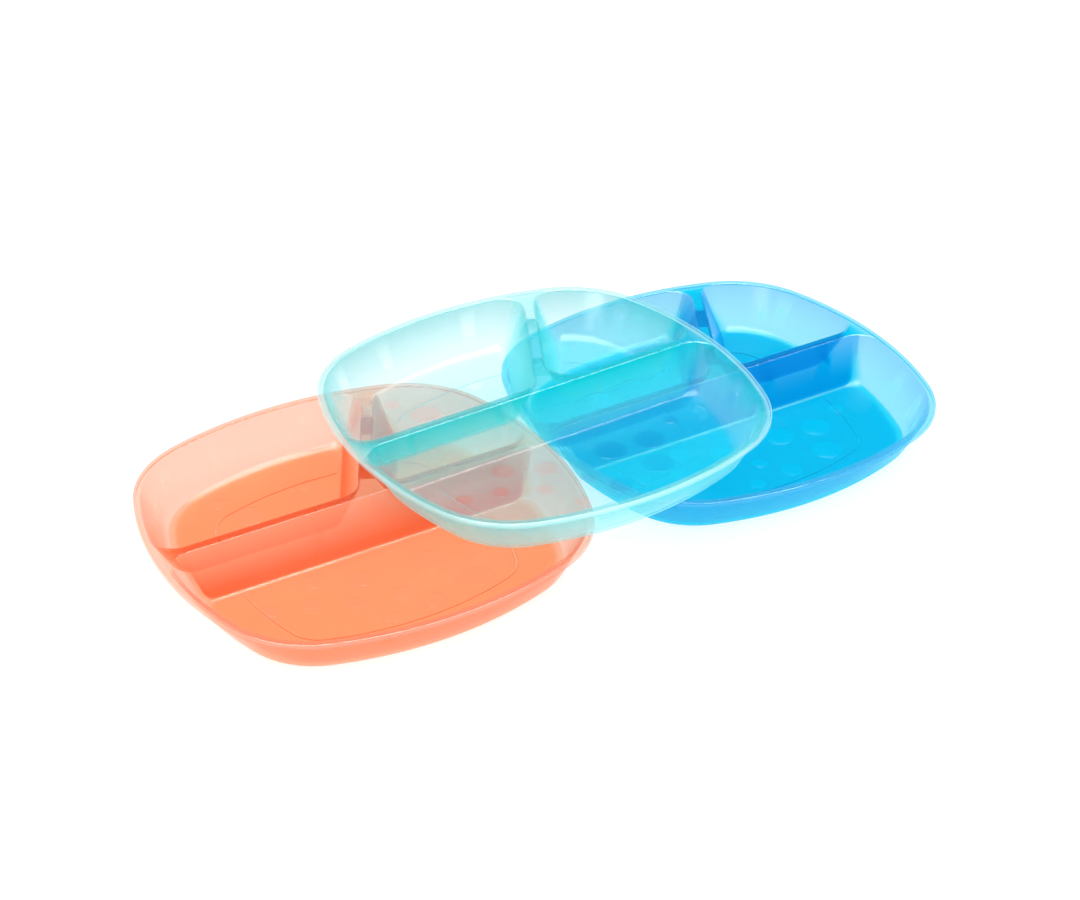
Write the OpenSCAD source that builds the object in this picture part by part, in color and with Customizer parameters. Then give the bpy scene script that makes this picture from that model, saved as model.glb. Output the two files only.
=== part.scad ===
// Set of three divided plates: coral and blue stand end to end, aqua lies on both.
// Millimetres. X runs along the row, Y to the rear, Z up from the table.

/* [Plate] */
// Width of one plate over its rim, and its depth, which is the same
plate_w = 210; // [180:1:240]
// Height of one plate from the table to its rim
plate_h = 26; // [20:0.5:32]
// Radius of the bulging sides
side_r = 188; // [150:1:260]
// Radius of the four outer corners
corner_r = 56; // [46:1:68]
// Thickness of the moulded wall
wall = 1.4; // [1:0.1:1.8]

/* [Rim] */
// Width of the flat rim, from the outer edge to where a compartment begins
rim_land = 3.2; // [2.6:0.1:6]
// Rounding of the outer edge
edge_round = 0.9; // [0.3:0.1:1.2]
// Height of the turned-down edge
skirt_h = 2.6; // [2:0.1:5]
// Thickness of the turned-down edge
skirt_t = 1.1; // [0.8:0.1:2]

/* [Dividers] */
// Flat width of the long divider
long_land = 3.8; // [3:0.1:8]
// Middle of the long divider, behind the middle of the plate
long_y = 6.5; // [0:0.5:14]
// Flat width of the short divider
short_land = 4.8; // [3:0.1:8]
// Where the short divider meets the long one, right of the middle
short_x = 4.4; // [-6:0.2:10]
// Lean of the short divider to the right, in degrees
short_lean = 27; // [10:1:32]

/* [Compartments] */
// Slope of the outer walls from upright, in degrees
edge_slope = 26; // [20:1:32]
// Slope of the walls beside the dividers from upright, in degrees
side_slope = 25; // [15:1:28]
// Rounding of the upper edge
lip_r = 1.2; // [0.8:0.1:1.6]
// Rounding between the outer walls and the floor
edge_floor_round = 8; // [4:0.5:10]
// Rounding between the floor and the walls beside the dividers
side_floor_round = 3; // [2:0.1:4]
// Corner radius beside the dividers, at the top
top_corner_r = 12; // [10:0.5:15]
// Corner radius beside the dividers, at the floor
floor_corner_r = 5; // [4:0.5:8]

/* [Foot] */
// Height of the foot ring under the floors
foot_h = 0.8; // [0.5:0.1:1.5]
// Width of the foot ring
foot_w = 1.6; // [1.2:0.1:3]
// How far the foot ring lies inside the outer edge
foot_inset = 38; // [32:1:42]

/* [Ribs] */
// Thickness of the cross ribs in the hollow dividers
rib_t = 1; // [0.8:0.1:2]
// How far the cross ribs reach down from the rim
rib_drop = 12; // [8:0.5:16]

/* [Dots] */
// Height of the raised dots on the floors
dot_rise = 0.3; // [0.2:0.1:0.6]
// Radius of the large dots
large_dot_r = 8.2; // [6:0.2:9]
// Radius of the middle dots
middle_dot_r = 6; // [4:0.2:7]
// Radius of the small dots
small_dot_r = 4.4; // [3:0.2:5]

/* [Set] */
// Gap between the two lower plates
row_gap = 0.5; // [0.4:0.1:10]
// Gap between the upper plate and the rims that it lies on
rest_gap = 0.2; // [0.1:0.1:0.5]
// How far the upper plate lies left of the middle of the row
upper_left = 0.8; // [0:0.2:10]
// How far the upper plate lies behind the middle of the row
upper_rear = 1.6; // [0:0.2:10]
// Turn of the coral plate, in degrees
coral_turn = -1.8; // [-2:0.1:2]
// Turn of the aqua plate, in degrees
aqua_turn = 0.5; // [-3:0.1:3]
// Turn of the blue plate, in degrees
blue_turn = -1.3; // [-2:0.1:2]

/* [Hidden] */
// Overrun of the cuts above the rim and below the table
over = 2;
// Steps of an outer curve in degrees, and of one small rounding in pieces
curve_step = 4;
corner_steps = 7;
profile_steps = 3;
dot_sides = 18;
half_turn = 180;
quarter = 90;

half_w = plate_w / 2;
side_back = side_r - half_w;
corner_span = side_r - corner_r;
corner_at = (sqrt(2 * corner_span * corner_span - side_back * side_back) - side_back) / 2;
bend = atan2(corner_at, corner_at + side_back);

floor_z = foot_h + wall;
skin = wall / cos(side_slope);

// Dividers: a point on the short one, and the directions out of the compartments
short_foot = [short_x, long_y];
left_out = -short_lean;
right_out = half_turn - short_lean;

// Places of the ribs, the long ones along X and the short ones from the meeting point
long_rib_shares = [-0.34, -0.10, 0.18, 0.36];
short_rib_shares = [0.15, 0.35];

// Places of the dots on the floors, as shares of the plate width
large_dot_shares = [[0.205, -0.155], [0.1, -0.145], [0.165, -0.255], [-0.19, 0.235]];
middle_dot_shares = [[0.038, -0.285], [-0.07, -0.13], [-0.162, -0.085],
    [-0.08, 0.165], [-0.3, 0.17], [0.275, 0.185]];
small_dot_shares = [[-0.12, -0.205], [-0.212, -0.158], [-0.014, -0.22], [-0.07, -0.295],
    [0.3, -0.11], [-0.3, -0.14], [-0.02, 0.29], [-0.24, 0.32]];

function unit(a) = [cos(a), sin(a)];
function side_of(a) = quarter * round(a / quarter);
function on_side(a) = abs(a - side_of(a)) <= bend;
function arc_mid(a) = on_side(a)
    ? -side_back * unit(side_of(a))
    : corner_at * [sign(cos(a)), sign(sin(a))];
function arc_radius(a) = on_side(a) ? side_r : corner_r;

// A point of the outer edge by the direction that it faces, moved in by some inset
function edge_point(a, inset) = arc_mid(a) + (arc_radius(a) - inset) * unit(a);
function edge_run(from, to, inset) =
    let (steps = ceil((to - from) / curve_step))
    [for (i = [0:steps]) edge_point(from + (to - from) * i / steps, inset)];
function outline(inset) = edge_run(0, 2 * half_turn, inset);

// Where the edge, moved in, crosses the line that faces a direction at a distance
function crossings(facing, reach, way, inset) =
    [for (i = [0:7])
        let (probe = quarter / 2 * i)
        let (mid = arc_mid(probe))
        let (level = (reach - mid * unit(facing)) / (arc_radius(probe) - inset))
        if (abs(level) <= 1)
            let (a = facing + way * acos(level))
            let (off = a - probe - 2 * half_turn * round((a - probe) / (2 * half_turn)))
            if (abs(off) <= (i % 2 == 0 ? bend : quarter / 2 - bend)) a];

function small_arc(mid, r, from, to) =
    [for (i = [0:corner_steps]) mid + r * unit(from + (to - from) * i / corner_steps)];

// The middle of the rounding between two straight dividers
function line_corner(a, reach_a, b, reach_b) =
    [(reach_a * sin(b) - reach_b * sin(a)) / sin(b - a),
     (reach_b * cos(a) - reach_a * cos(b)) / sin(b - a)];

// Each compartment as its straight sides: the direction that each faces, and its distance
front_reach = long_y - long_land / 2;
rear_reach = -long_y - long_land / 2;
left_reach = short_foot * unit(left_out) - short_land / 2;
right_reach = short_foot * unit(right_out) - short_land / 2;

// A loop lies some way in from the rim's land and some way in from the dividers' lands
function front_loop(edge_in, side_in, r) =
    let (reach = front_reach - side_in - r)
    let (far = rim_land + edge_in + r)
    let (a = crossings(quarter, reach, 1, far)[0])
    let (b = half_turn - a)
    concat(
        small_arc(edge_point(a, far), r, quarter, a),
        edge_run(a, b + 2 * half_turn, rim_land + edge_in),
        small_arc(edge_point(b, far), r, b, quarter));

function left_loop(edge_in, side_in, r) =
    let (reach = rear_reach - side_in - r)
    let (side = left_reach - side_in - r)
    let (far = rim_land + edge_in + r)
    let (a = crossings(left_out, side, 1, far)[0])
    let (b = crossings(3 * quarter, reach, -1, far)[0])
    concat(
        small_arc(edge_point(a, far), r, left_out, a),
        edge_run(a, b, rim_land + edge_in),
        small_arc(edge_point(b, far), r, b, 3 * quarter),
        small_arc(line_corner(left_out, side, 3 * quarter, reach), r,
            3 * quarter, left_out + 2 * half_turn));

function right_loop(edge_in, side_in, r) =
    let (reach = rear_reach - side_in - r)
    let (side = right_reach - side_in - r)
    let (far = rim_land + edge_in + r)
    let (a = crossings(-quarter, reach, 1, far)[0])
    let (b = crossings(right_out, side, -1, far)[0])
    concat(
        small_arc(edge_point(a, far), r, -quarter, a),
        edge_run(a, b, rim_land + edge_in),
        small_arc(edge_point(b, far), r, b, right_out),
        small_arc(line_corner(right_out, side, 3 * quarter, reach), r,
            right_out, 3 * quarter));

function loop(which, edge_in, side_in, r) = which == 0 ? front_loop(edge_in, side_in, r)
    : which == 1 ? left_loop(edge_in, side_in, r) : right_loop(edge_in, side_in, r);

// A wall is its slope and its rounding at the floor
edge_wall = [edge_slope, edge_floor_round];
side_wall = [side_slope, side_floor_round];

// How far in a wall has come at a height: rounded lip, straight slope, rounded foot
function lip_z(slope) = plate_h - lip_r + lip_r * sin(slope);
function slope_in(z, slope) = lip_r * cos(slope) + (lip_z(slope) - z) * tan(slope);
function foot_in(w) = slope_in(floor_z + w[1], w[0]) + w[1] / cos(w[0]);
function round_in(z, w, r) =
    let (drop = floor_z + w[1] - z)
    foot_in(w) - sqrt(max(0, r * r - drop * drop));
function lip_in(z) =
    let (rise = z - plate_h + lip_r)
    sqrt(max(0, lip_r * lip_r - rise * rise));
function inner_in(z, w) = z >= lip_z(w[0]) ? lip_in(z)
    : z > floor_z + w[1] * (1 - sin(w[0])) ? slope_in(z, w[0]) : round_in(z, w, w[1]);
function outer_in(z, w) =
    let (r = w[1] + wall)
    z > floor_z + w[1] - r * sin(w[0]) ? slope_in(z, w[0]) - wall / cos(w[0]) : round_in(z, w, r);

// The corner radius shrinks evenly as the wall beside the divider comes in
function corner_in(side_in) =
    top_corner_r + (floor_corner_r - top_corner_r) * side_in / foot_in(side_wall);

// A level is a height, both insets and a corner radius
function inner_level(z) =
    let (side_in = inner_in(z, side_wall))
    [z, inner_in(z, edge_wall), side_in, corner_in(side_in)];
function outer_level(z) =
    let (side_in = outer_in(z, side_wall))
    [z, outer_in(z, edge_wall), side_in, corner_in(side_in + skin) + skin];

function lip_levels() =
    [for (i = [0:profile_steps - 1])
        let (a = side_slope + (quarter - side_slope) * i / (profile_steps - 1))
        inner_level(plate_h - lip_r + lip_r * sin(a))];
function foot_arc(i) = quarter - (quarter - edge_slope) * i / profile_steps;
function inner_levels() = concat(
    [for (i = [0:profile_steps])
        inner_level(floor_z + edge_floor_round * (1 - sin(foot_arc(i))))],
    [inner_level(lip_z(side_slope))]);
function outer_levels() = concat(
    [for (i = [0:profile_steps])
        outer_level(floor_z + edge_floor_round - (edge_floor_round + wall) * sin(foot_arc(i)))],
    [outer_level(plate_h - wall / 2)]);

function lifted(points, z) = [for (p = points) [p[0], p[1], z]];
function level_points(which, level) =
    lifted(loop(which, level[1], level[2], level[3]), level[0]);

// The solid around a set of points
module body(points) {
    hull() polyhedron(points = points, faces = [[for (i = [0:len(points) - 1]) i]]);
}

module bowl(which, levels) {
    body([for (level = levels) each level_points(which, level)]);
}

// The rounded upper edge of a compartment, cut band by band and open above
module lip(which) {
    levels = lip_levels();
    for (i = [0:len(levels) - 2])
        bowl(which, [levels[i], levels[i + 1]]);
    bowl(which, [levels[len(levels) - 1], [plate_h + over, 0, 0, top_corner_r]]);
}

// All that is empty in a compartment
module hollow(which) {
    union() {
        bowl(which, inner_levels());
        lip(which);
    }
}

module rim_sheet() {
    difference() {
        body([for (i = [0:profile_steps])
            let (a = quarter * i / profile_steps)
            each lifted(outline(edge_round * (1 - cos(a))), plate_h - edge_round * (1 - sin(a))),
            each lifted(outline(0), plate_h - skirt_h)]);
        body([each lifted(outline(skirt_t), plate_h - skirt_h - over),
            each lifted(outline(skirt_t), plate_h - wall)]);
    }
}

// A cross rib in a hollow divider, held in both walls and in the flat top
module rib(at, turn, land) {
    top = plate_h - wall / 2;
    low = plate_h - rib_drop;
    top_half = land / 2 + slope_in(top, side_slope) - skin / 2;
    low_half = land / 2 + slope_in(low, side_slope) - skin / 2;
    translate(at)
        rotate(turn)
            body([for (x = [-rib_t / 2, rib_t / 2], side = [-1, 1])
                each [[x, side * top_half, top], [x, side * low_half, low]]]);
}

module ribs() {
    for (share = long_rib_shares)
        rib([share * plate_w, long_y, 0], 0, long_land);
    for (share = short_rib_shares) {
        along = short_foot + share * plate_w * unit(quarter - short_lean);
        rib([along[0], along[1], 0], quarter - short_lean, short_land);
    }
}

// The foot ring runs under the three floors and stops at the hollow dividers
module foot_ring() {
    for (which = [0:2])
        intersection() {
            difference() {
                linear_extrude(foot_h + wall / 2)
                    polygon(outline(foot_inset - foot_w / 2));
                translate([0, 0, -over])
                    linear_extrude(foot_h + wall + 2 * over)
                        polygon(outline(foot_inset + foot_w / 2));
            }
            linear_extrude(foot_h + wall)
                polygon(loop(which, foot_in(edge_wall) + foot_w / 2,
                    foot_in(side_wall) + foot_w / 2, floor_corner_r));
        }
}

module dot_set(shares, r) {
    for (share = shares)
        translate([share[0] * plate_w, share[1] * plate_w, floor_z - wall / 2])
            cylinder(h = dot_rise + wall / 2, r = r, $fn = dot_sides);
}

module plate() {
    difference() {
        union() {
            rim_sheet();
            for (which = [0:2])
                bowl(which, outer_levels());
            ribs();
        }
        for (which = [0:2])
            hollow(which);
    }
    foot_ring();
    dot_set(large_dot_shares, large_dot_r);
    dot_set(middle_dot_shares, middle_dot_r);
    dot_set(small_dot_shares, small_dot_r);
}

// How far a turned plate reaches from its middle along X and Y
function turned_reach(turn) = side_r - side_back * cos(turn);
lower_reach = max(turned_reach(coral_turn), turned_reach(blue_turn));
row_x = half_w + row_gap / 2;
rear_end = max(lower_reach, upper_rear + turned_reach(aqua_turn));
front_end = min(-lower_reach, upper_rear - turned_reach(aqua_turn));
middle_y = (rear_end + front_end) / 2;
middle_x = (turned_reach(blue_turn) - turned_reach(coral_turn)) / 2;

module coral_plate() {
    color([1, 0.5, 0.34])
        translate([-row_x - middle_x, -middle_y, 0])
            rotate(coral_turn)
                plate();
}

module aqua_plate() {
    color([0.6, 0.92, 0.9])
        translate([-upper_left - middle_x, upper_rear - middle_y, plate_h + rest_gap])
            rotate(aqua_turn)
                plate();
}

module blue_plate() {
    color([0, 0.62, 0.92])
        translate([row_x - middle_x, -middle_y, 0])
            rotate(blue_turn)
                plate();
}

coral_plate();
aqua_plate();
blue_plate();
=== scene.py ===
import bpy
import numpy as np
from mathutils import Matrix, Vector


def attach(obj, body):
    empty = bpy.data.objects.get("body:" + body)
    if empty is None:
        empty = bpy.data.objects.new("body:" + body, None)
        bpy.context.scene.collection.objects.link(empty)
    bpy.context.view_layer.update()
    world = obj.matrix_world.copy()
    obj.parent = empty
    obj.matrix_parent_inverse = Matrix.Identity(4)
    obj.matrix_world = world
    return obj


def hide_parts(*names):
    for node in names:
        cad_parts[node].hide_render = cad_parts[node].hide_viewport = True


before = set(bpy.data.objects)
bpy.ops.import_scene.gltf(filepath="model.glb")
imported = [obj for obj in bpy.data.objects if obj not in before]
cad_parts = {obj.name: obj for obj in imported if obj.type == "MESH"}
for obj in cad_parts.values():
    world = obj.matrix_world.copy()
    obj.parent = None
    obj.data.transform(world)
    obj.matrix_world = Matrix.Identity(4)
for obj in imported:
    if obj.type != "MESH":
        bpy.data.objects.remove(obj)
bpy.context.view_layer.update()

mm = 0.001

# the lens, where the photograph was taken from
viewPlan = dict(
    aim=(13.5 * mm, 27.5 * mm, 0.0),   # point that the lens looks at
    away=1155.4 * mm,
    turn=30.852,                       # degrees, from the row towards the lens
    rise=32.76,                        # degrees above the table
    roll=-0.83,
    lens=73.19)


def buildView(plan):
    # the lens sits on a sphere around the aim and looks at its middle
    turn, rise = np.radians(plan["turn"]), np.radians(plan["rise"])
    back = Vector((-np.sin(turn) * np.cos(rise), -np.cos(turn) * np.cos(rise), np.sin(rise)))
    data = bpy.data.cameras.new("lens")
    data.lens, data.sensor_width, data.clip_end = plan["lens"], 36.0, 20.0
    lens = bpy.data.objects.new("lens", data)
    bpy.context.scene.collection.objects.link(lens)
    spin = (-back).to_track_quat("-Z", "Y").to_matrix().to_4x4()
    spin = spin @ Matrix.Rotation(np.radians(plan["roll"]), 4, "Z")
    lens.matrix_world = Matrix.Translation(Vector(plan["aim"]) + back * plan["away"]) @ spin
    bpy.context.scene.camera = lens


buildView(viewPlan)
print("view set")

# the moulded plate, all three alike
plateShape = dict(
    width=210 * mm, height=26 * mm,
    sideRadius=188 * mm, cornerRadius=56 * mm,
    wall=1.4 * mm,
    rimLand=3.2 * mm, edgeRound=0.9 * mm, skirtHeight=2.6 * mm, skirtWall=1.1 * mm,
    longLand=3.8 * mm, longBehind=6.5 * mm,
    shortLand=4.8 * mm, shortRight=4.4 * mm, shortLean=27.0,
    edgeWall=(26.0, 8.0 * mm),         # outer walls: slope from upright and rounding at the floor
    sideWall=(25.0, 3.0 * mm),         # the same beside the dividers
    lipRound=1.2 * mm,
    topCorner=12 * mm, floorCorner=5 * mm,
    footHeight=0.8 * mm, footWidth=1.6 * mm, footInset=38 * mm, footSoft=0.3 * mm,
    ribWall=1.0 * mm, ribDrop=12 * mm,
    longRibs=(-0.34, -0.10, 0.18, 0.36), shortRibs=(0.15, 0.35),   # shares of the width
    overrun=2 * mm,                    # of the cuts above the rim and below the table
    curveStep=1.6, cornerSteps=14, bendSteps=8, roomPoints=(300, 220, 180), footPoints=160)


def facing(angle):
    # unit vectors towards the given directions, in degrees
    angle = np.radians(np.asarray(angle, float))
    return np.stack([np.cos(angle), np.sin(angle)], -1)


class PlateOutline:
    # outer edge by the direction it faces: four wide side arcs meet four corner arcs,
    # point = middle of the arc + (radius - inset) * direction
    def __init__(self, s):
        self.s = s
        self.sideBack = s["sideRadius"] - s["width"] / 2
        span = s["sideRadius"] - s["cornerRadius"]
        self.cornerAt = (np.sqrt(2 * span ** 2 - self.sideBack ** 2) - self.sideBack) / 2
        self.bend = np.degrees(np.arctan2(self.cornerAt, self.cornerAt + self.sideBack))

    def arc(self, angle):
        angle = np.asarray(angle, float)
        side = 90 * np.round(angle / 90)
        onSide = np.abs(angle - side) <= self.bend
        corner = np.sign(facing(angle)) * self.cornerAt
        middle = np.where(onSide[..., None], -self.sideBack * facing(side), corner)
        return middle, np.where(onSide, self.s["sideRadius"], self.s["cornerRadius"])

    def point(self, angle, inset):
        middle, radius = self.arc(angle)
        return middle + (radius - inset)[..., None] * facing(angle)

    def run(self, start, end, inset):
        count = int(np.ceil(abs(end - start) / self.s["curveStep"])) + 1
        return self.point(np.linspace(start, end, count), inset)

    def insetOf(self, flat):
        # how far points lie inside the edge: radius - distance from the middle of the arc facing them
        inset = np.full(len(flat), np.inf)
        for probe in np.arange(8) * 45.0:
            middle, radius = self.arc(probe)
            step = flat - middle
            off = np.degrees(np.arctan2(step[:, 1], step[:, 0])) - probe
            off = np.abs(off - 360 * np.round(off / 360))
            half = self.bend if probe % 90 == 0 else 45 - self.bend
            here = np.minimum(inset, radius - np.hypot(step[:, 0], step[:, 1]))
            inset = np.where(off <= half, here, inset)
        return inset

    def crossing(self, towards, reach, way, inset):
        # direction at which the inset edge meets a straight line, arc by arc:
        # angle = towards + way * acos((reach - middle . towards) / radius)
        probe = np.arange(8) * 45.0
        middle, radius = self.arc(probe)
        level = (reach - middle @ facing(towards)) / (radius - inset)
        angle = towards + way * np.degrees(np.arccos(np.clip(level, -1, 1)))
        off = angle - probe - 360 * np.round((angle - probe) / 360)
        half = np.where(np.arange(8) % 2 == 0, self.bend, 45 - self.bend)
        return angle[(np.abs(level) <= 1) & (np.abs(off) <= half)][0]


def roundCorner(middle, radius, start, end, steps):
    # arc of one corner: middle + radius * direction
    return middle + radius * facing(np.linspace(start, end, steps + 1))


def lineMeeting(a, reachA, b, reachB):
    # point p with p . a = reachA and p . b = reachB
    return np.linalg.solve(np.stack([facing(a), facing(b)]), np.array([reachA, reachB]))


class Compartments:
    # loops of the three compartments at any insets and corner radius, and the profile of their walls
    def __init__(self, s):
        self.s, self.edge = s, PlateOutline(s)
        self.leftOut, self.rightOut = -s["shortLean"], 180 - s["shortLean"]
        foot = np.array([s["shortRight"], s["longBehind"]])
        self.foot = foot
        self.frontReach = s["longBehind"] - s["longLand"] / 2
        self.rearReach = -s["longBehind"] - s["longLand"] / 2
        self.leftReach = foot @ facing(self.leftOut) - s["shortLand"] / 2
        self.rightReach = foot @ facing(self.rightOut) - s["shortLand"] / 2
        self.floor = s["footHeight"] + s["wall"]

    def slopeIn(self, height, slope):
        # inset of the straight wall: lip * cos + (foot of the lip - height) * tan
        a, lip = np.radians(slope), self.s["lipRound"]
        return lip * np.cos(a) + (self.s["height"] - lip * (1 - np.sin(a)) - height) * np.tan(a)

    def footIn(self, wall):
        # inset at which the flat floor begins
        slope, bow = wall
        return self.slopeIn(self.floor + bow, slope) + bow / np.cos(np.radians(slope))

    def roundIn(self, height, wall, radius):
        # inset on the rounded foot of the wall: foot - sqrt(radius^2 - depth^2)
        depth = self.floor + wall[1] - height
        return self.footIn(wall) - np.sqrt(np.maximum(0, radius ** 2 - depth ** 2))

    def innerIn(self, height, wall):
        # rounded lip, straight wall, rounded foot, by height
        slope, bow = wall
        a, lip = np.radians(slope), self.s["lipRound"]
        rise = height - self.s["height"] + lip
        onLip = np.sqrt(np.maximum(0, lip ** 2 - rise ** 2))
        straight = height > self.floor + bow * (1 - np.sin(a))
        below = np.where(straight, self.slopeIn(height, slope), self.roundIn(height, wall, bow))
        return np.where(rise >= lip * np.sin(a), onLip, below)

    def outerIn(self, height, wall):
        slope, bow = wall
        a, thick = np.radians(slope), self.s["wall"]
        straight = height > self.floor + bow - (bow + thick) * np.sin(a)
        onSlope = self.slopeIn(height, slope) - thick / np.cos(a)
        return np.where(straight, onSlope, self.roundIn(height, wall, bow + thick))

    def cornerFor(self, inset):
        # corner radius shrinks evenly from the lip to the floor
        share = inset / self.footIn(self.s["sideWall"])
        return self.s["topCorner"] + (self.s["floorCorner"] - self.s["topCorner"]) * share

    def loop(self, which, edgeIn, sideIn, radius):
        s, edge = self.s, self.edge
        moved, inset = sideIn + radius, s["rimLand"] + edgeIn
        far = inset + radius
        steps = s["cornerSteps"]
        if which == 0:
            a = edge.crossing(90, self.frontReach - moved, 1, far)
            b = 180 - a
            return np.vstack([
                roundCorner(edge.point(a, far), radius, 90, a, steps)[:-1],
                edge.run(a, b + 360, inset),
                roundCorner(edge.point(b, far), radius, b, 90, steps)[1:]])
        if which == 1:
            a = edge.crossing(self.leftOut, self.leftReach - moved, 1, far)
            b = edge.crossing(270, self.rearReach - moved, -1, far)
            middle = lineMeeting(self.leftOut, self.leftReach - moved, 270, self.rearReach - moved)
            return np.vstack([
                roundCorner(edge.point(a, far), radius, self.leftOut, a, steps)[:-1],
                edge.run(a, b, inset),
                roundCorner(edge.point(b, far), radius, b, 270, steps)[1:],
                roundCorner(middle, radius, 270, self.leftOut + 360, steps)])
        a = edge.crossing(-90, self.rearReach - moved, 1, far)
        b = edge.crossing(self.rightOut, self.rightReach - moved, -1, far)
        middle = lineMeeting(self.rightOut, self.rightReach - moved, 270, self.rearReach - moved)
        return np.vstack([
            roundCorner(edge.point(a, far), radius, -90, a, steps)[:-1],
            edge.run(a, b, inset),
            roundCorner(edge.point(b, far), radius, b, self.rightOut, steps)[1:],
            roundCorner(middle, radius, self.rightOut, 270, steps)])

    def ring(self, which, height, edgeIn, sideIn, radius, count):
        # one loop evened out to a fixed number of points along its length
        return lifted(evened(self.loop(which, edgeIn, sideIn, radius), count), height)


def evened(flat, count, lengthShare=0.35):
    # the same closed loop with points at even shares of a weight that favours tight corners:
    # weight = length share + turning share
    closed = np.vstack([flat, flat[:1]])
    step = np.diff(closed, axis=0)
    length = np.hypot(step[:, 0], step[:, 1])
    keep = np.concatenate([[True], length > 1e-9])
    closed = closed[keep]
    step = np.diff(closed, axis=0)
    length = np.hypot(step[:, 0], step[:, 1])
    angle = np.arctan2(step[:, 1], step[:, 0])
    turning = np.diff(np.concatenate([angle[-1:], angle]))
    turning = np.abs((turning + np.pi) % (2 * np.pi) - np.pi)
    turning = (turning + np.roll(turning, -1)) / 2
    weight = length / length.sum() * lengthShare + turning / turning.sum() * (1 - lengthShare)
    along = np.concatenate([[0], np.cumsum(weight)])
    wanted = np.arange(count) / count
    return np.stack([np.interp(wanted, along, closed[:, axis]) for axis in (0, 1)], -1)


def lifted(flat, height):
    return np.column_stack([flat, np.full(len(flat), height)])


def sweptSolid(rings):
    # closed solid through rings of equal length from low to high: quads between them, flat caps
    rings = np.asarray(rings)
    levels, count = rings.shape[:2]
    i, j = np.meshgrid(np.arange(levels - 1), np.arange(count), indexing="ij")
    nextJ = (j + 1) % count
    low, high = i * count, (i + 1) * count
    quads = np.stack([low + j, low + nextJ, high + nextJ, high + j], -1).reshape(-1, 4)
    caps = [np.arange(count)[::-1], np.arange(count) + (levels - 1) * count]
    return dict(points=rings.reshape(-1, 3), loops=np.concatenate([quads.ravel(), *caps]),
                sizes=np.concatenate([np.full(len(quads), 4), [count, count]]))


def meshOf(name, solids):
    # several closed solids side by side in one mesh
    points = np.vstack([s["points"] for s in solids])
    offset = np.cumsum([0] + [len(s["points"]) for s in solids[:-1]])
    loops = np.concatenate([s["loops"] + o for s, o in zip(solids, offset)])
    sizes = np.concatenate([s["sizes"] for s in solids])
    mesh = bpy.data.meshes.new(name)
    mesh.vertices.add(len(points))
    mesh.vertices.foreach_set("co", points.astype(np.float32).ravel())
    mesh.loops.add(len(loops))
    mesh.loops.foreach_set("vertex_index", loops.astype(np.int32))
    mesh.polygons.add(len(sizes))
    starts = np.concatenate([[0], np.cumsum(sizes)[:-1]])
    mesh.polygons.foreach_set("loop_start", starts.astype(np.int32))
    mesh.update(calc_edges=True)
    mesh.validate()
    return mesh


def objectOf(name, mesh):
    piece = bpy.data.objects.new(name, mesh)
    bpy.context.scene.collection.objects.link(piece)
    return piece


def bowlRings(rooms, which, outer, count):
    # heights follow the arcs of both floor roundings and of the lip, insets the walls' profiles there
    s = rooms.s
    edge, side = s["edgeWall"], s["sideWall"]
    thick = s["wall"] if outer else 0
    heights = []
    for slope, bow in (edge, side):
        bend = np.radians(np.linspace(90, slope, s["bendSteps"] + 1))
        heights.append(rooms.floor + bow - (bow + thick) * np.sin(bend))
    height = np.unique(np.round(np.concatenate(heights), 7))
    if outer:
        skin = s["wall"] / np.cos(np.radians(side[0]))
        height = np.append(height, s["height"] - s["wall"] / 2)
        edgeIn, sideIn = rooms.outerIn(height, edge), rooms.outerIn(height, side)
        corner = rooms.cornerFor(sideIn + skin) + skin
    else:
        lip = np.radians(np.linspace(side[0], 90, s["bendSteps"]))
        height = np.concatenate([height, s["height"] - s["lipRound"] * (1 - np.sin(lip))])
        edgeIn = np.append(rooms.innerIn(height, edge), 0.0)
        sideIn = np.append(rooms.innerIn(height, side), 0.0)
        height = np.append(height, s["height"] + s["overrun"])
        corner = rooms.cornerFor(sideIn)
    return [rooms.ring(which, *level, count) for level in zip(height, edgeIn, sideIn, corner)]


def rimSolids(rooms):
    # flat sheet with a rounded, turned-down edge, and the space under it
    s, edge = rooms.s, rooms.edge
    around = np.arange(0, 360, s["curveStep"])
    bow = np.radians(np.linspace(0, 90, s["bendSteps"] + 1))
    rings = [lifted(edge.point(around, 0), s["height"] - s["skirtHeight"])]
    for a in bow:
        loop = edge.point(around, s["edgeRound"] * (1 - np.cos(a)))
        rings.append(lifted(loop, s["height"] - s["edgeRound"] * (1 - np.sin(a))))
    inside = edge.point(around, s["skirtWall"])
    under = [lifted(inside, s["height"] - s["skirtHeight"] - s["overrun"]),
             lifted(inside, s["height"] - s["wall"])]
    return sweptSolid(rings), sweptSolid(under)


def ribSolids(rooms):
    # thin upright wedges across the hollow dividers, wider below as the walls spread
    s = rooms.s
    top, low = s["height"] - s["wall"] / 2, s["height"] - s["ribDrop"]
    along = facing(90 - s["shortLean"])
    places = [(np.array([share * s["width"], s["longBehind"]]), 0.0, s["longLand"])
              for share in s["longRibs"]]
    places += [(rooms.foot + share * s["width"] * along, 90 - s["shortLean"], s["shortLand"])
               for share in s["shortRibs"]]
    solids = []
    for at, turn, land in places:
        across, out = facing(turn + 90), facing(turn)
        rings = []
        for height in (low, top):
            slope = s["sideWall"][0]
            skin = s["wall"] / np.cos(np.radians(slope))
            half = land / 2 + rooms.slopeIn(height, slope) - skin / 2
            corner = np.array([[-1, -1], [1, -1], [1, 1], [-1, 1]])
            flat = at + corner[:, :1] * out * s["ribWall"] / 2 + corner[:, 1:] * across * half
            rings.append(lifted(flat, height))
        solids.append(sweptSolid(rings))
    return solids


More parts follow.
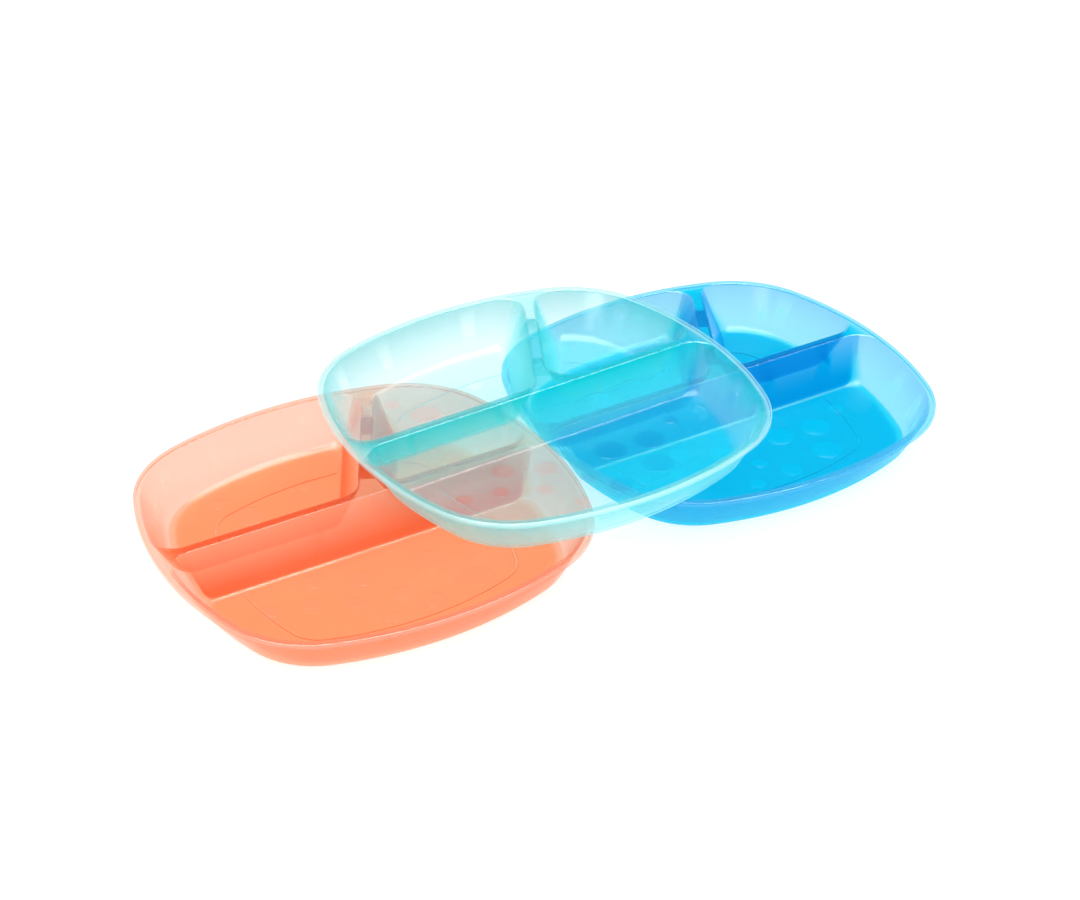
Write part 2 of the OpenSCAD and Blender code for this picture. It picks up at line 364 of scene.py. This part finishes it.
def footSolids(rooms):
    # low ring concentric with the outer edge, rounded below
    s, edge = rooms.s, rooms.edge
    around = np.arange(0, 360, s["curveStep"])
    half, top = s["footWidth"] / 2, s["footHeight"] + s["wall"] / 2
    soft, low = s["footSoft"], s["footSoft"] * 0.3
    outside, inside = s["footInset"] - half, s["footInset"] + half
    outer = [lifted(edge.point(around, outside + inset), height)
             for inset, height in ((soft, 0), (low, low), (0, soft), (0, top))]
    inner = [lifted(edge.point(around, inside - inset), height)
             for inset, height in ((soft, -s["overrun"]), (soft, -0.01 * mm), (low, low), (0, soft),
                                   (0, top + s["overrun"]))]
    edgeIn, sideIn = (rooms.footIn(s[key]) + half for key in ("edgeWall", "sideWall"))
    floors = []
    for which in range(3):
        floors.append(sweptSolid([
            rooms.ring(which, height, edgeIn, sideIn, s["floorCorner"], s["footPoints"])
            for height in (-s["overrun"], s["footHeight"] + s["wall"] * 0.6)]))
    return sweptSolid(outer), sweptSolid(inner), floors


# raised dots: floor ones by share of the width, wall ones by facing direction and height
dotPlan = dict(
    rise=0.3 * mm, edge=0.45 * mm,
    large=8.2 * mm, middle=6.0 * mm, small=4.4 * mm,
    largeAt=((0.205, -0.155), (0.1, -0.145), (0.165, -0.255), (-0.19, 0.235)),
    middleAt=((0.038, -0.285), (-0.07, -0.13), (-0.162, -0.085),
              (-0.08, 0.165), (-0.3, 0.17), (0.275, 0.185)),
    smallAt=((-0.12, -0.205), (-0.212, -0.158), (-0.014, -0.22), (-0.07, -0.295),
             (0.3, -0.11), (-0.3, -0.14), (-0.02, 0.29), (-0.24, 0.32)),
    # direction in degrees, height and radius in mm
    wallAt=((-12, 13.5, 4.2), (-24, 16.5, 3.6), (-38, 11.0, 3.0), (-70, 14.0, 4.2), (-84, 11.5, 3.2),
            (-100, 15.0, 3.8), (-122, 12.0, 3.2), (-150, 14.5, 4.0), (-166, 11.5, 3.0), (22, 14.5, 3.8),
            (36, 11.5, 3.0), (86, 14.0, 3.6), (103, 12.0, 3.0), (128, 15.0, 4.0), (150, 12.0, 3.2)))


def dotSolid(middle, normal, radius, plan, depth):
    # low disc with a rounded shoulder: rings of shrinking radius along its normal
    normal = normal / np.linalg.norm(normal)
    side = np.cross(normal, [0, 0, 1.0]) if abs(normal[2]) < 0.99 else np.array([1.0, 0, 0])
    side = side / np.linalg.norm(side)
    other = np.cross(normal, side)
    around = np.radians(np.arange(0, 360, 7.5))
    circle = np.cos(around)[:, None] * side + np.sin(around)[:, None] * other
    bow = np.radians(np.linspace(0, 90, 5))
    size = np.concatenate([[radius], radius - plan["edge"] * (1 - np.cos(bow))])
    height = np.concatenate([[-depth], plan["rise"] * np.sin(bow)])
    return sweptSolid(middle + size[:, None, None] * circle + height[:, None, None] * normal)


def dotPlaces(rooms, plan):
    # middle, normal and radius of each dot
    s = rooms.s
    up = np.array([0, 0, 1.0])
    places = [(np.array([x * s["width"], y * s["width"], rooms.floor]), up, plan[key])
              for key in ("large", "middle", "small") for x, y in plan[key + "At"]]
    slope = s["edgeWall"][0]
    lean = np.radians(slope)
    for angle, height, radius in plan["wallAt"]:
        out = facing(angle)
        flat = rooms.edge.point(float(angle), s["rimLand"] + rooms.slopeIn(height * mm, slope))
        normal = np.array([-out[0] * np.cos(lean), -out[1] * np.cos(lean), np.sin(lean)])
        places.append((np.array([*flat, height * mm]), normal, radius * mm))
    return places


def combined(name, first, steps):
    # one closed surface from solids that are joined, cut or kept in common, in order
    body = objectOf(name, meshOf(name, first))
    tools = []
    for i, (how, solids) in enumerate(steps):
        tool = objectOf(f"{name}Tool{i}", meshOf(f"{name}Tool{i}", solids))
        tools.append(tool)
        change = body.modifiers.new(f"step{i}", "BOOLEAN")
        change.operation, change.solver, change.object = how, "MANIFOLD", tool
    bpy.context.view_layer.update()
    done = body.evaluated_get(bpy.context.evaluated_depsgraph_get())
    mesh = bpy.data.meshes.new_from_object(done)
    for piece in [body] + tools:
        old = piece.data
        bpy.data.objects.remove(piece)
        bpy.data.meshes.remove(old)
    mesh.name = name
    return mesh


def solidOf(mesh):
    # a mesh back as a plain solid
    points = np.empty(len(mesh.vertices) * 3, np.float32)
    mesh.vertices.foreach_get("co", points)
    loops = np.empty(len(mesh.loops), np.int32)
    mesh.loops.foreach_get("vertex_index", loops)
    sizes = np.empty(len(mesh.polygons), np.int32)
    mesh.polygons.foreach_get("loop_total", sizes)
    return dict(points=points.reshape(-1, 3), loops=loops, sizes=sizes)


def buildPlateMesh(shape, dots):
    rooms = Compartments(shape)
    sheet, under = rimSolids(rooms)
    bowls, hollows = ([sweptSolid(bowlRings(rooms, which, outer, count))
                       for which, count in enumerate(shape["roomPoints"])] for outer in (True, False))
    footOuter, footInner, floors = footSolids(rooms)
    foot = combined("footRing", [footOuter], [("DIFFERENCE", [footInner]), ("INTERSECT", floors)])
    return combined("plate", [sheet], [
        ("DIFFERENCE", [under]), ("UNION", bowls), ("UNION", ribSolids(rooms)),
        ("DIFFERENCE", hollows), ("UNION", [solidOf(foot)]),
        ("UNION", [dotSolid(*place, dots, shape["wall"] / 2)
                   for place in dotPlaces(rooms, dots)])])


def vectorsOf(mesh, kind):
    # positions or normals of all points
    flat = np.empty(len(mesh.vertices) * 3)
    mesh.vertices.foreach_get(kind, flat)
    return flat.reshape(-1, 3)


def clipped(value):
    return np.clip(value, 0, 1)


markFade = dict(lipDepth=2.2, lipFade=1.2, level=6.0, wallReach=5 * mm, floorFade=0.6 * mm,
                steep=0.95, steepFade=0.3, down=4.0, dotSlack=0.02 * mm, dotReach=1.2)


def markPlate(mesh, shape, dots, fade):
    # shares from 0 to 1 that the finish reads, point by point
    rooms = Compartments(shape)
    points, normals = vectorsOf(mesh, "co"), vectorsOf(mesh, "normal")
    height, up = points[:, 2], normals[:, 2]
    inset = rooms.edge.insetOf(points[:, :2])
    # lip = clip((height - start) / fade) * clip(6 * (1 - up)), without the level part
    start = shape["height"] - fade["lipDepth"] * shape["lipRound"]
    lip = clipped((height - start) / (fade["lipFade"] * shape["lipRound"]))
    lip = lip * clipped((1 - up) * fade["level"])
    # the same at the outer edge: marks the painted highlight along the rim's outer rounding
    rim = lip * (inset < shape["rimLand"] - shape["skirtWall"])
    # wall = near the outer wall, from where it leaves the floor: clip(1 - distance / reach); it marks the
    # painted reflection of the white surroundings, a paler tint and tone on the walls and their rounded foot
    past = inset - shape["rimLand"] - rooms.innerIn(height, shape["edgeWall"])
    risen = clipped((height - rooms.floor) / fade["floorFade"])
    wall = clipped(1 - past / fade["wallReach"]) * risen
    # side = steep faces beside the dividers: clip((0.95 - |up|) / 0.3)
    side = (past > fade["wallReach"]) * clipped((fade["steep"] - np.abs(up)) / fade["steepFade"]) * risen
    # under = faces that look down
    under = clipped(-fade["down"] * up)
    # dot = height over the floor or wall as a share of the dot's rise, inside its circle
    dot = np.zeros(len(points))
    for middle, normal, radius in dotPlaces(rooms, dots):
        step = points - middle
        rise = step @ normal
        apart = np.linalg.norm(step - rise[:, None] * normal, axis=1)
        inside = (apart < radius + fade["dotSlack"]) & (rise < dots["rise"] * fade["dotReach"])
        dot = np.where(inside, clipped(rise / dots["rise"]), dot)
    marks = dict(lip=lip - rim, rim=rim, wall=wall, side=side, under=under, dot=dot)
    for name, value in marks.items():
        mark = mesh.attributes.new(name, "FLOAT", "POINT")
        mark.data.foreach_set("value", value.astype(np.float32))


plateMesh = buildPlateMesh(plateShape, dotPlan)
markPlate(plateMesh, plateShape, dotPlan, markFade)
print("plate mesh", len(plateMesh.vertices), "points", len(plateMesh.polygons), "faces")

# where each plate lies, from the CAD: middle, height of its foot, turn in degrees
setPlan = dict(
    coral=dict(at=(-105.24 * mm, -0.78 * mm, 0.0), turn=-1.8),
    aqua=dict(at=(-0.79 * mm, 0.82 * mm, 26.2 * mm), turn=0.5),
    blue=dict(at=(105.26 * mm, -0.78 * mm, 0.0), turn=-1.3))


def placePlate(colour, plan, mesh, sharpFrom=32.0, faceWeight=60):
    own = mesh.copy()
    own.name = colour + "PlateShell"
    turned = Matrix.Rotation(np.radians(plan["turn"]), 4, "Z")
    own.transform(Matrix.Translation(Vector(plan["at"])) @ turned)
    piece = objectOf(colour + "PlateShell", own)
    own.shade_smooth()
    own.set_sharp_from_angle(angle=np.radians(sharpFrom))
    weigh = piece.modifiers.new("evenShade", "WEIGHTED_NORMAL")
    weigh.keep_sharp, weigh.weight = True, faceWeight
    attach(piece, colour)
    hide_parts(colour + "_plate")
    return piece


plates = {colour: placePlate(colour, plan, plateMesh) for colour, plan in setPlan.items()}
print("plates placed")


class Socket:
    # wraps a shader socket so that sums on it add Math nodes
    def __init__(self, graph, link):
        self.graph, self.link = graph, link

    def math(self, operation, *others):
        return self.graph.node("ShaderNodeMath", dict(operation=operation),
                               {i: v for i, v in enumerate((self,) + others)}).out(0)

    def __add__(self, other):
        return self.math("ADD", other)

    def __radd__(self, other):
        return self.math("ADD", other)

    def __mul__(self, other):
        return self.math("MULTIPLY", other)

    def __rmul__(self, other):
        return self.math("MULTIPLY", other)

    def __sub__(self, other):
        return self.math("SUBTRACT", other)

    def __rsub__(self, other):
        return self.graph.node("ShaderNodeMath", dict(operation="SUBTRACT"), {0: other, 1: self}).out(0)

    def __pow__(self, other):
        return self.math("POWER", other)


class Made:
    def __init__(self, graph, node):
        self.graph, self.node = graph, node

    def out(self, which):
        # by place, or the socket in use that has the name
        found = [s for s in self.node.outputs if s.name == which and s.enabled]
        return Socket(self.graph, found[0] if found else self.node.outputs[which])


class Graph:
    def __init__(self, tree):
        self.tree = tree
        tree.nodes.clear()

    def node(self, kind, settings=None, inputs=None):
        # settings first, then values or links of the sockets
        made = self.tree.nodes.new(kind)
        for key, value in (settings or {}).items():
            setattr(made, key, value)
        for key, value in (inputs or {}).items():
            named = [s for s in made.inputs if s.name == key and s.enabled]
            target = named[0] if named else made.inputs[key]
            if isinstance(value, Socket):
                self.tree.links.new(value.link, target)
            else:
                target.default_value = value
        return Made(self, made)


# light that passes is tinted by deep and density along its way through the plastic, and where it crosses a
# skin by body, on the walls, lips and rim by the paler paintedSheenTint (painted reflection of the white
# surroundings) and on the floor's dots by spot; light that scatters takes milk, wall (a pale tone: painted
# reflection on the walls and their rounded foot), side, lip or rim (a pale tone: painted highlight at the
# rim's outer edge); the shares say how much scatters
finishPlan = dict(
    coral=dict(
        deep=(1.0, 0.46, 0.26), density=60.0,
        body=(1.0, 0.69, 0.50), paintedSheenTint=(1.0, 0.845, 0.775), spot=(1.0, 0.69, 0.53),
        milk=(1.0, 0.34, 0.15), wall=(1.0, 0.62, 0.48), side=(1.0, 0.165, 0.05),
        # the pale rim colour and its extra share paint a highlight along the rim's outer edge
        lip=(1.0, 0.36, 0.20), rim=(1.0, 0.60, 0.46),
        share=0.11, shares=dict(wall=0.0, side=0.54, dot=-0.06, lip=0.02, rim=0.14)),
    aqua=dict(
        deep=(0.6, 0.96, 0.96), density=30.0,
        body=(0.98, 1.0, 1.0), paintedSheenTint=(0.97, 0.985, 0.985), spot=(1.0, 0.93, 0.95),
        milk=(0.03, 0.88, 1.0), wall=(0.42, 0.94, 0.96), side=(0.16, 0.92, 0.92),
        lip=(0.0, 0.66, 0.70), rim=(0.62, 0.93, 0.93),
        share=0.115, shares=dict(wall=0.02, side=0.09, dot=-0.08, lip=0.24, rim=0.30)),
    blue=dict(
        deep=(0.0, 0.90, 0.99), density=50.0,
        body=(0.0, 0.79, 0.92), paintedSheenTint=(0.67, 0.935, 0.975), spot=(0.0, 0.83, 0.95),
        milk=(0.0, 0.50, 0.86), wall=(0.16, 0.68, 0.90), side=(0.0, 0.31, 0.78),
        lip=(0.0, 0.34, 0.80), rim=(0.08, 0.55, 0.90),
        share=0.13, shares=dict(wall=-0.01, side=0.30, dot=-0.06, lip=0.12, rim=0.14)))

# what the three have in common
skinPlan = dict(rough=0.2, roughChange=0.08, index=1.2, coatIndex=2.2, slowScale=26.0, fineScale=240.0,
                fineShare=0.3, bumpStrength=0.04, bumpDepth=0.4 * mm, patchy=0.04, straight=0.04)


def plasticFinish(name, plan, common):
    # milky see-through plastic: most light passes straight on and is tinted, a share scatters at the skin:
    # share = share of the place + (1 - share) * (0.04 + 0.96 * facing ^ 5), where facing grows edge-on
    material = bpy.data.materials.new(name)
    material.use_nodes = True
    graph = Graph(material.node_tree)
    where = graph.node("ShaderNodeTexCoord").out("Object")
    marks = {mark: graph.node("ShaderNodeAttribute", dict(attribute_name=mark)).out("Fac")
             for mark in ("lip", "rim", "wall", "side", "under", "dot")}
    lip, rim, wall, side, under, dot = marks.values()
    fine, slow = (graph.node("ShaderNodeTexNoise", dict(noise_dimensions="3D"), {
        "Vector": where, "Scale": common[scale], "Detail": 3.0}).out("Fac")
                  for scale in ("fineScale", "slowScale"))
    bump = graph.node("ShaderNodeBump", {}, {
        "Height": fine * common["fineShare"] + slow, "Strength": common["bumpStrength"],
        "Distance": common["bumpDepth"]}).out("Normal")
    # colour of the scattered light, place by place; the pale wall tone paints the reflection of the white
    # surroundings, the pale tone at the rim's outer edge a highlight
    tone = (*plan["milk"], 1)
    for mark in ("wall", "side", "lip", "rim"):
        tone = graph.node("ShaderNodeMix", dict(data_type="RGBA"), {
            "Factor": marks[mark], "A": tone, "B": (*plan[mark], 1)}).out("Result")
    # the gloss is a coat, none on the dividers' walls and on the underside
    skin = graph.node("ShaderNodeBsdfPrincipled", {}, {
        "Base Color": tone, "Roughness": (slow - 0.5) * common["roughChange"] + common["rough"],
        "IOR": common["index"], "Normal": bump, "Coat Normal": bump,
        "Coat Weight": (1 - side - under).math("MAXIMUM", 0.0),
        "Coat IOR": common["coatIndex"], "Coat Roughness": common["rough"]})
    # the paler tint on the walls, lips and rim paints the reflection of the white surroundings; the body tint
    # is used elsewhere
    paintedSheenTint, body, spot = (graph.node("ShaderNodeBsdfTransparent", {}, {"Color": (*plan[key], 1)})
                        for key in ("paintedSheenTint", "body", "spot"))
    inner = (1 - wall - lip - rim).math("MAXIMUM", 0.0)
    clear = graph.node("ShaderNodeMixShader", {}, {"Fac": inner, 1: paintedSheenTint.out(0), 2: body.out(0)})
    clear = graph.node("ShaderNodeMixShader", {}, {"Fac": dot * (1 - wall), 1: clear.out(0), 2: spot.out(0)})
    facingAway = graph.node("ShaderNodeLayerWeight", {}, {"Blend": 0.5}).out("Facing")
    edgeOn = facingAway ** 5 * (1 - common["straight"]) + common["straight"]
    share = edgeOn * (1 - plan["share"]) + (slow - 0.5) * common["patchy"] + plan["share"]
    for mark, more in plan["shares"].items():
        share = share + marks[mark] * more
    surface = graph.node("ShaderNodeMixShader", {}, {"Fac": share, 1: clear.out(0), 2: skin.out(0)})
    depth = graph.node("ShaderNodeVolumeAbsorption", {}, {
        "Color": (*plan["deep"], 1), "Density": plan["density"]})
    graph.node("ShaderNodeOutputMaterial", {}, {"Surface": surface.out(0), "Volume": depth.out(0)})
    return material


for colour, piece in plates.items():
    piece.data.materials.clear()
    piece.data.materials.append(plasticFinish(colour + "Plastic", finishPlan[colour], skinPlan))
print("finishes set")

# soft boxes by the angle from the lens round to the side, their height above the table and their size
studio = dict(
    tableColour=(0.40, 0.40, 0.40), tableGlow=0.72, tableRough=0.8, tableHalf=4.0,
    sky=1.05, mirrored=0.05, horizon=0.8, horizonFall=2.2, behind=1.5,
    overhead=11.0, overheadFrom=0.8, overheadRise=8.0,
    lamps=(
        dict(side=-34, rise=18, away=1.6, wide=0.50, tall=0.50, glow=5.0),
        dict(side=41, rise=15, away=1.6, wide=0.20, tall=0.30, glow=8.0),
        dict(side=138, rise=62, away=1.6, wide=0.50, tall=0.50, glow=6.0)))


def buildStudio(plan, view):
    mesh = bpy.data.meshes.new("tableTop")
    half = plan["tableHalf"]
    corners = [(-half, -half, 0), (half, -half, 0), (half, half, 0), (-half, half, 0)]
    mesh.from_pydata(corners, [], [(0, 1, 2, 3)])
    table = objectOf("tableTop", mesh)
    material = bpy.data.materials.new("tableWhite")
    material.use_nodes = True
    graph = Graph(material.node_tree)
    shader = graph.node("ShaderNodeBsdfPrincipled", {}, {
        "Base Color": (*plan["tableColour"], 1), "Roughness": plan["tableRough"], "Specular IOR Level": 0.0,
        "Emission Color": (1, 1, 1, 1), "Emission Strength": plan["tableGlow"]})
    graph.node("ShaderNodeOutputMaterial", {}, {"Surface": shader.out(0)})
    mesh.materials.append(material)

    # the sky is plain white to the lens, softer as a light; in reflections it is dark above
    # and bright near the horizon behind the set and overhead:
    # mirrored + horizon * clip(1 - fall * up) ^ 2 * clip(behind * rear) + overhead * clip(rise * (up - from))
    world = bpy.data.worlds.new("studio")
    world.use_nodes = True
    bpy.context.scene.world = world
    graph = Graph(world.node_tree)
    path = graph.node("ShaderNodeLightPath")
    towards = graph.node("ShaderNodeSeparateXYZ", {}, {0: graph.node("ShaderNodeTexCoord").out("Generated")})
    up = towards.out("Z")
    low = (1 - up * plan["horizonFall"]).math("MAXIMUM", 0.0).math("MINIMUM", 1.0)
    turn = np.radians(view["turn"])
    rear = (towards.out("X") * (plan["behind"] * np.sin(turn))
            + towards.out("Y") * (plan["behind"] * np.cos(turn)))
    seen = low * low * rear.math("MAXIMUM", 0.0).math("MINIMUM", 1.0) * plan["horizon"] + plan["mirrored"]
    top = ((up - plan["overheadFrom"]) * plan["overheadRise"]).math("MAXIMUM", 0.0).math("MINIMUM", 1.0)
    seen = seen + top * plan["overhead"]
    strength = (path.out("Is Camera Ray") * (1 - plan["sky"]) + plan["sky"]
                - path.out("Is Glossy Ray") * (plan["sky"] - seen))
    light = graph.node("ShaderNodeBackground", {}, {"Color": (1, 1, 1, 1), "Strength": strength}).out(0)
    graph.node("ShaderNodeOutputWorld", {}, {"Surface": light})

    # glow is the radiance of the box's face: watts = glow * area * pi
    for i, lamp in enumerate(plan["lamps"]):
        data = bpy.data.lights.new(f"softBox{i}", "AREA")
        data.shape, data.size, data.size_y = "RECTANGLE", lamp["wide"], lamp["tall"]
        data.energy = lamp["glow"] * lamp["wide"] * lamp["tall"] * np.pi
        box = objectOf(f"softBox{i}", data)
        turn, rise = np.radians(lamp["side"] - view["turn"] - 90), np.radians(lamp["rise"])
        out = Vector((np.cos(turn) * np.cos(rise), np.sin(turn) * np.cos(rise), np.sin(rise)))
        box.location = out * lamp["away"]
        box.rotation_euler = (-out).to_track_quat("-Z", "Y").to_euler()


buildStudio(studio, viewPlan)
bpy.context.scene.view_settings.view_transform = "Standard"
bpy.context.scene.cycles.transparent_max_bounces = 40
print("studio set")
